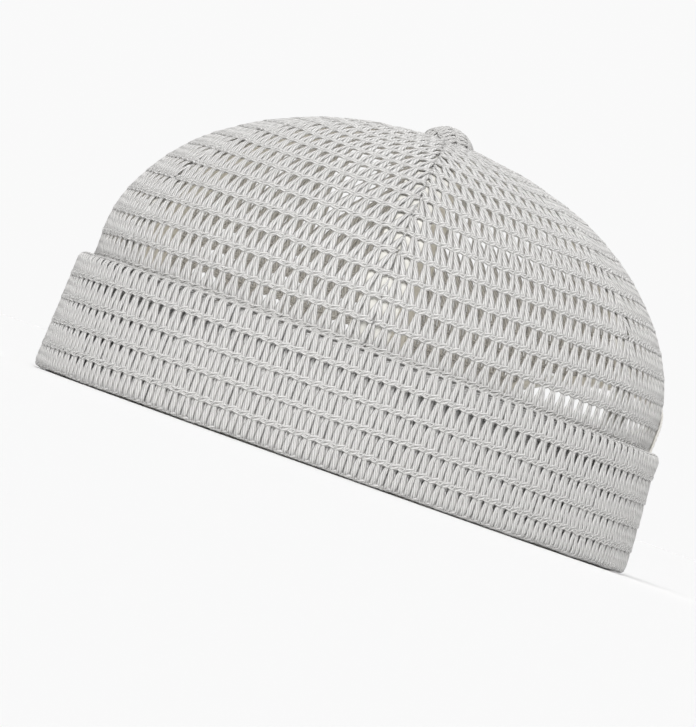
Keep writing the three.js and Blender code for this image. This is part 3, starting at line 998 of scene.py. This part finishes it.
def strap_turn(x, level, start, end):
    """A bend of the strap round a point beside one of the slider's bars."""
    turn = np.radians(np.linspace(start, end, 9))
    turn_x = SLIDER_X + x + STRAP_BEND * np.cos(turn)
    return np.stack([turn_x, strap_line(turn_x) + level + STRAP_BEND * np.sin(turn)], -1)


def webbing(line):
    """Ribbed webbing that follows a line in plan."""
    keep = np.diff(travelled(line), prepend=-1) > 0.02
    route = even_route(line[keep], RIB_PITCH / 4)
    kernel = np.hanning(9) / np.hanning(9).sum()
    padded = np.pad(route, ((4, 4), (0, 0)), "reflect", reflect_type="odd")
    route = np.stack([np.convolve(column, kernel, "valid") for column in padded.T], -1)
    along = unit(np.gradient(route, axis=0))
    flat = ribbon_section(STRAP_HALF_WIDTH, STRAP_HALF_THICK, 5)
    rib = RIB_DEPTH * (1 - np.cos(2 * np.pi * np.arange(len(route)) / 4))[:, None]
    up = flat[None, :, 0] * (1 - rib / STRAP_HALF_WIDTH)
    out = flat[None, :, 1] * (1 - rib / STRAP_HALF_THICK)
    x = route[:, :1] - along[:, 1:] * out
    y = route[:, 1:] + along[:, :1] * out
    return tube(points_at(x, y, STRAP_MIDDLE_Z + up))


def fold_level(x):
    """The outer layer's level, eased down on to the inner one past the slider."""
    past = np.clip((SLIDER_X - SLIDER_HALF_WIDTH - 0.6 - x) / 6.5, 0, 1)
    eased = past * past * (3 - 2 * past)
    return STRAP_OVER + (FOLD_LEVEL - STRAP_OVER) * eased


def fixed_line():
    """In through the slider's side slot, round its side bar and back outside."""
    turn_x = BAR_EASE - SIDE_INNER
    outer = strap_run(SLIDER_X + turn_x, -FOLD_REACH, 0.0)
    outer[:, 1] += fold_level(outer[:, 0])
    return np.concatenate([
        strap_run(-STRAP_END_X, SLIDER_X + turn_x, 0.0),
        strap_turn(turn_x, STRAP_BEND, -90, 0),
        strap_turn(turn_x, STRAP_OVER - STRAP_BEND, 0, 90),
        outer,
    ])


def running_line():
    """Out past the near bar, over the middle one and back inside as a short tail."""
    slot_x = (SIDE_INNER + SLIDER_MIDDLE_HALF) / 2
    back_x = -SLIDER_MIDDLE_HALF - BAR_IN - BAR_EASE
    return np.concatenate([
        strap_run(STRAP_END_X, SLIDER_X + slot_x + STRAP_BEND, 0.0),
        strap_turn(slot_x + STRAP_BEND, STRAP_BEND, -90, -180),
        strap_turn(slot_x - STRAP_BEND, STRAP_OVER - STRAP_BEND, 0, 90),
        strap_turn(back_x + STRAP_BEND, STRAP_OVER - STRAP_BEND, 90, 180),
        strap_turn(back_x - STRAP_BEND, STRAP_TAIL + STRAP_BEND, 0, -90),
        strap_run(SLIDER_X + back_x - STRAP_BEND, -TAIL_REACH, STRAP_TAIL),
    ])


def strap_stitches():
    """Four rows across the doubled end, on its inner and its outer face."""
    rows = STRAP_SEAM_X + STRAP_SEAM_PITCH * np.arange(4)
    heights = STRAP_MIDDLE_Z + STRAP_STITCH_PITCH * (np.arange(10) - 4.5)
    u, v = [grid.ravel() for grid in np.meshgrid(rows, heights)]

    def inner(u, v, n):
        return np.stack([u, strap_line(u) - n, v], -1)

    def outer(u, v, n):
        return np.stack([u, strap_line(u) + fold_level(u) + n, v], -1)

    lift = STRAP_HALF_THICK - 0.02
    sides = (inner, outer)
    return joined([sewn(side, u, v, STRAP_STITCH_LENGTH, STRAP_THREAD_HALF, lift) for side in sides])


def slider_outline():
    """The slider's outer edge and its two slots, as loops of points."""
    slot_high = STRAP_HALF_WIDTH + SLOT_EASE
    half_height = slot_high + SLIDER_RAIL
    turn = np.radians(np.linspace(0, 90, 7))
    corner_x = SLIDER_HALF_WIDTH - SLIDER_CORNER + SLIDER_CORNER * np.cos(turn)
    corner_y = half_height - SLIDER_CORNER + SLIDER_CORNER * np.sin(turn)
    x = np.concatenate([corner_x, -corner_x[::-1], -corner_x, corner_x[::-1]])
    y = np.concatenate([corner_y, corner_y[::-1], -corner_y, -corner_y[::-1]])
    loops = [np.stack([x, y], -1)]
    for side in (-1, 1):
        x = side * np.array([SLIDER_MIDDLE_HALF, SIDE_INNER, SIDE_INNER, SLIDER_MIDDLE_HALF])
        y = slot_high * np.array([-1, -1, 1, 1])
        loops.append(np.stack([x, y], -1))
    return loops


def slider_mesh():
    curve = bpy.data.curves.new("slider_outline", "CURVE")
    curve.dimensions = "2D"
    curve.fill_mode = "BOTH"
    curve.extrude = (SLIDER_THICK / 2 - SLIDER_BEVEL) * MM
    curve.bevel_depth = SLIDER_BEVEL * MM
    curve.bevel_resolution = 3
    curve.offset = -SLIDER_BEVEL * MM
    for loop in slider_outline():
        spline = curve.splines.new("POLY")
        spline.points.add(len(loop) - 1)
        for point, (x, y) in zip(spline.points, loop):
            point.co = (x * MM, y * MM, 0, 1)
        spline.use_cyclic_u = True
    plate = add_object("slider_outline", curve)
    made = bpy.data.meshes.new_from_object(plate.evaluated_get(bpy.context.evaluated_depsgraph_get()))
    bpy.data.objects.remove(plate)
    plate_y = strap_line(np.array(float(SLIDER_X))) + BAR_IN + SLIDER_THICK / 2
    stand = Matrix.Rotation(math.pi / 2, 4, "X")
    shift = Matrix.Translation(Vector((SLIDER_X, plate_y, STRAP_MIDDLE_Z)) * MM)
    form = bmesh.new()
    form.from_mesh(made)
    bmesh.ops.remove_doubles(form, verts=form.verts, dist=0.001 * MM)
    bmesh.ops.transform(form, matrix=shift @ stand, verts=form.verts)
    peg_y = plate_y - SLIDER_THICK / 2
    peg = Matrix.Translation(Vector((PEG_X, peg_y, PEG_Z)) * MM)
    bmesh.ops.create_uvsphere(form, u_segments=20, v_segments=12, radius=PEG_RADIUS * MM, matrix=peg)
    bmesh.ops.recalc_face_normals(form, faces=form.faces)
    mesh = bpy.data.meshes.new("slider_plate")
    form.to_mesh(mesh)
    form.free()
    bpy.data.meshes.remove(made)
    mesh.shade_smooth()
    return mesh


# Materials

def set_inputs(tree, node, values):
    """Sets a node's inputs, each to a plain value or to another node's output."""
    for name, value in values.items():
        if isinstance(value, bpy.types.NodeSocket):
            tree.links.new(value, node.inputs[name])
        else:
            node.inputs[name].default_value = value


def new_node(tree, kind, values):
    node = tree.nodes.new(kind)
    set_inputs(tree, node, values)
    return node


def new_material(name):
    material = bpy.data.materials.new(name)
    material.use_nodes = True
    tree = material.node_tree
    return material, tree, tree.nodes["Principled BSDF"]


def mapped_texture(tree, kind, source, values, scale=(1, 1, 1), turn=0.0):
    place = new_node(tree, "ShaderNodeTexCoord", {}).outputs[source]
    laid = {"Vector": place, "Scale": scale, "Rotation": (0, 0, turn)}
    mapping = new_node(tree, "ShaderNodeMapping", laid)
    return new_node(tree, kind, {"Vector": mapping.outputs["Vector"], **values})


def colour_ramp(tree, factor, dark, light, low=0.0, high=1.0):
    ramp = new_node(tree, "ShaderNodeValToRGB", {"Fac": factor})
    for element, position, colour in zip(ramp.color_ramp.elements, (low, high), (dark, light)):
        element.position = position
        element.color = (*colour, 1)
    return ramp.outputs["Color"]


def computed(tree, operation, *values):
    node = new_node(tree, "ShaderNodeMath", dict(enumerate(values)))
    node.operation = operation
    return node.outputs[0]


def bump(tree, height, distance, strength):
    """Relief from a height, its depth in millimetres."""
    values = {"Height": height, "Distance": distance * MM, "Strength": strength}
    return new_node(tree, "ShaderNodeBump", values).outputs["Normal"]


def yarn_material(name, dark, light):
    """Plied yarn: fine strands twisted round each other, with a soft gloss. Its colour has painted
    shade in the crevices between plies and painted highlights on their ridges.
    """
    material, tree, shader = new_material(name)
    values = {"Scale": 0.38, "Distortion": 1.8, "Detail": 1.0}
    plies = mapped_texture(tree, "ShaderNodeTexWave", "UV", values, turn=math.radians(17))
    values = {"Scale": 2.2, "Detail": 3.0}
    fibres = mapped_texture(tree, "ShaderNodeTexNoise", "UV", values, scale=(3.2, 0.9, 1))
    half_fibres = computed(tree, "MULTIPLY", fibres.outputs["Fac"], 0.5)
    # The ply wave sets the colour as well as the relief: painted shade where the plies meet, painted
    # highlights where they bulge out.
    mix = computed(tree, "MULTIPLY_ADD", plies.outputs["Fac"], 0.5, half_fibres)
    set_inputs(tree, shader, {
        "Base Color": colour_ramp(tree, mix, dark, light, 0.1, 0.6),
        "Roughness": 0.5,
        "Sheen Weight": 0.25,
        "Sheen Roughness": 0.4,
        "Normal": bump(tree, mix, 0.25, 0.8),
    })
    return material


def woven_material(name, dark, light, pitch, depth):
    """Woven cloth: threads crossing at a pitch and depth in millimetres."""
    material, tree, shader = new_material(name)
    threads = []
    for direction in ("X", "Y"):
        values = {"Scale": 0.314 / pitch, "Distortion": 0.6, "Detail": 1.0}
        wave = mapped_texture(tree, "ShaderNodeTexWave", "UV", values)
        wave.bands_direction = direction
        threads.append(wave.outputs["Fac"])
    weave = computed(tree, "MULTIPLY", *threads)
    values = {"Scale": 140, "Detail": 4.0}
    patches = mapped_texture(tree, "ShaderNodeTexNoise", "Object", values)
    tone = computed(tree, "MULTIPLY_ADD", weave, 0.22, patches.outputs["Fac"])
    set_inputs(tree, shader, {
        "Base Color": colour_ramp(tree, tone, dark, light, 0.3, 0.9),
        "Roughness": 0.85,
        "Sheen Weight": 0.2,
        "Normal": bump(tree, weave, depth, 0.7),
    })
    return material


def plastic_material(name, dark, light):
    """Moulded plastic with a satin face."""
    material, tree, shader = new_material(name)
    values = {"Scale": 900, "Detail": 3.0}
    grain = mapped_texture(tree, "ShaderNodeTexNoise", "Object", values).outputs["Fac"]
    set_inputs(tree, shader, {
        "Base Color": colour_ramp(tree, grain, dark, light),
        "Roughness": 0.36,
        "Normal": bump(tree, grain, 0.05, 0.3),
    })
    return material


# In each yarn the dark colour is painted shade in the crevices between plies, and the light colour is
# painted highlight on their ridges.
KNIT = yarn_material("knit_yarn", (0.295, 0.289, 0.281), (0.76, 0.751, 0.737))
TAPE = woven_material("tape_cotton", (0.74, 0.725, 0.675), (0.88, 0.865, 0.82), 0.5, 0.08)
BAND = woven_material("sweatband_cloth", (0.33, 0.29, 0.19), (0.46, 0.41, 0.29), 0.55, 0.1)
BLACK_WEB = woven_material("webbing_black", (0.005, 0.0055, 0.007), (0.019, 0.02, 0.025), 0.45, 0.06)
BROWN_THREAD = yarn_material("thread_brown", (0.09, 0.05, 0.025), (0.18, 0.11, 0.06))
CREAM_THREAD = yarn_material("thread_cream", (0.5, 0.48, 0.43), (0.78, 0.76, 0.7))
BLACK_THREAD = yarn_material("thread_black", (0.02, 0.02, 0.023), (0.055, 0.056, 0.064))
PLASTIC = plastic_material("slider_plastic", (0.028, 0.029, 0.024), (0.046, 0.047, 0.04))


# The cap's pieces

def as_sheet(size, area=None):
    """Turns a piece's flat area into square metres and does nothing more with it; size and area are
    those of its flat cut, in millimetres, and size is not used.
    """
    if area is not None:
        area = area * MM * MM


def add_crown():
    for number in range(1, PANELS + 1):
        shape = joined([crown_gore(number), hidden_wall(number)])
        node = f"crown_panel_{number}"
        gore = make_piece(f"knit_gore_{number}", shape, KNIT, [node])
        width, area = gore_cut(number)
        as_sheet((width, CROWN_TRAVEL), area=area)
    shape = joined([button_knit(), button_core()])
    make_piece("button_knit", shape, KNIT, ["button"])


def add_tapes():
    for number in range(1, PANELS + 1):
        node = f"seam_tape_{number}"
        tape = make_piece(f"tape_{number}", seam_tape(number), TAPE, [node])
        shape = tape_stitches(number)
        thread = make_piece(f"tape_stitches_{number}", shape, CREAM_THREAD, [node])
        foot, tip = tape_travel(number)
        size = (2 * TAPE_HALF_WIDTH, tip - foot)
        as_sheet(size)
    binding = make_piece("binding", arch_binding(), TAPE, ["arch_binding"])
    shape = binding_stitches()
    thread = make_piece("binding_stitches", shape, CREAM_THREAD, ["arch_binding"])
    as_sheet(binding_cut())


def add_cuff():
    """The cuff in two halves, which meet at the front."""
    columns = cuff_columns()
    for name, side, chosen in (
        ("right", -1, columns[columns < 0]),
        ("left", 1, columns[columns >= 0]),
    ):
        shape = joined([cuff_knit(chosen), cuff_back(side)])
        half = make_piece(f"cuff_{name}", shape, KNIT, ["cuff"])
        strands = make_piece(f"cuff_strands_{name}", cuff_strands(chosen), KNIT, ["cuff"])
        as_sheet(cuff_cut())


def add_sweatband():
    band = make_piece("sweatband_cloth", sweatband(), BAND, ["sweatband"])
    roll = make_piece("sweatband_roll", sweatband_roll(), TAPE, ["sweatband"])
    shape = sweatband_stitches()
    thread = make_piece("sweatband_stitches", shape, BROWN_THREAD, ["sweatband"])
    length = 2 * np.interp(band_limit(0.0), BAND_ANGLES, BAND_TRAVEL)
    size = (BAND_TOP_Z - BAND_FOOT_Z, length)
    as_sheet(size)


def add_straps():
    shape = strap_stitches()
    thread = make_piece("webbing_stitches", shape, BLACK_THREAD, ["strap_fixed"])
    for name, node, line, sewn_on in (
        ("webbing_fixed", "strap_fixed", fixed_line(), [thread]),
        ("webbing_running", "strap_running", running_line(), []),
    ):
        strap = make_piece(name, webbing(line), BLACK_WEB, [node])
        as_sheet((2 * STRAP_HALF_WIDTH, line_length(line)))
    mesh = slider_mesh()
    mesh.materials.append(PLASTIC)
    claim(add_object("slider_plate", mesh), ["slider"])


# Stage, light and camera

CAMERA_AZIMUTH = math.radians(58.5)
CAMERA_ELEVATION = math.radians(-0.6)
CAMERA_ROLL = math.radians(19.6)
CAMERA_DISTANCE = 2.0
PICTURE_WIDTH = 696
PICTURE_HEIGHT = 727
PIXEL = 0.322 * MM
CAP_CENTRE = (0.0, 0.0, 0.059)
CAP_PIXEL = (393, 299)
SENSOR = 36
FAR_CLIP = 20
FLOOR_HALF = 60.0
FLOOR_COLOUR = (0.9, 0.9, 0.9)


def add_camera():
    """The photograph's azimuth and roll, lowered to just above the floor."""
    level_back = np.array([math.sin(CAMERA_AZIMUTH), -math.cos(CAMERA_AZIMUTH), 0])
    level_right = np.array([math.cos(CAMERA_AZIMUTH), math.sin(CAMERA_AZIMUTH), 0])
    back = math.cos(CAMERA_ELEVATION) * level_back
    back[2] = math.sin(CAMERA_ELEVATION)
    level_up = np.cross(back, level_right)
    right = math.cos(CAMERA_ROLL) * level_right + math.sin(CAMERA_ROLL) * level_up
    up = np.cross(back, right)
    shift_right = (PICTURE_WIDTH / 2 - CAP_PIXEL[0]) * PIXEL
    shift_up = (CAP_PIXEL[1] - PICTURE_HEIGHT / 2) * PIXEL
    aim = np.array(CAP_CENTRE) + shift_right * right + shift_up * up
    data = bpy.data.cameras.new("camera")
    data.sensor_width = SENSOR
    data.lens = SENSOR / (PICTURE_HEIGHT * PIXEL) * CAMERA_DISTANCE
    data.clip_end = FAR_CLIP
    camera = add_object("camera", data)
    matrix = np.eye(4)
    matrix[:3, 0] = right
    matrix[:3, 1] = up
    matrix[:3, 2] = back
    matrix[:3, 3] = aim + back * CAMERA_DISTANCE
    camera.matrix_world = Matrix(matrix.tolist())
    bpy.context.scene.camera = camera


def add_floor():
    mesh = bpy.data.meshes.new("floor")
    corners = [(x * FLOOR_HALF, y * FLOOR_HALF, 0) for x, y in ((-1, -1), (1, -1), (1, 1), (-1, 1))]
    mesh.from_pydata(corners, [], [(0, 1, 2, 3)])
    floor = add_object("floor", mesh)
    material, tree, shader = new_material("floor")
    values = {"Base Color": (*FLOOR_COLOUR, 1), "Roughness": 1.0, "Specular IOR Level": 0.0}
    set_inputs(tree, shader, values)
    mesh.materials.append(material)


SKY_SEEN = 0.95
SKY_LIGHT = 0.12
SUN_SOFTNESS = math.radians(40)
KEY_STRENGTH = 2.96
KEY_FROM = (0.70, -0.53, 0.85)
BACK_STRENGTH = 1.2
BACK_FROM = (-0.75, 0.53, 1.0)
FILL_POWER = 0.055
FILL_RADIUS = 0.035
FILL_PLACE = (0, 0, 0.045)


def add_world():
    """A plain white room, as bright as the lit floor where the camera sees it."""
    world = bpy.data.worlds.new("studio")
    bpy.context.scene.world = world
    world.use_nodes = True
    tree = world.node_tree
    camera_ray = new_node(tree, "ShaderNodeLightPath", {}).outputs["Is Camera Ray"]
    values = {"Value": camera_ray, "To Min": SKY_LIGHT, "To Max": SKY_SEEN}
    strength = new_node(tree, "ShaderNodeMapRange", values).outputs["Result"]
    set_inputs(tree, tree.nodes["Background"], {"Color": (1, 1, 1, 1), "Strength": strength})


def add_sun(name, strength, way):
    data = bpy.data.lights.new(name, "SUN")
    data.energy = strength
    data.angle = SUN_SOFTNESS
    light = add_object(name, data)
    light.rotation_mode = "QUATERNION"
    light.rotation_quaternion = Vector(way).to_track_quat("Z", "Y")


def add_fill():
    """A weak warm light inside the cap, for the look of its inner side through the holes."""
    data = bpy.data.lights.new("fill", "POINT")
    data.energy = FILL_POWER
    data.shadow_soft_size = FILL_RADIUS
    data.color = (1.0, 0.95, 0.87)
    light = add_object("fill", data)
    light.location = FILL_PLACE
    light.visible_camera = False


bpy.context.scene.view_settings.view_transform = "Standard"
add_camera()
add_floor()
add_world()
add_sun("key", KEY_STRENGTH, KEY_FROM)
add_sun("back", BACK_STRENGTH, BACK_FROM)
add_fill()
add_crown()
add_tapes()
add_cuff()
add_sweatband()
add_straps()
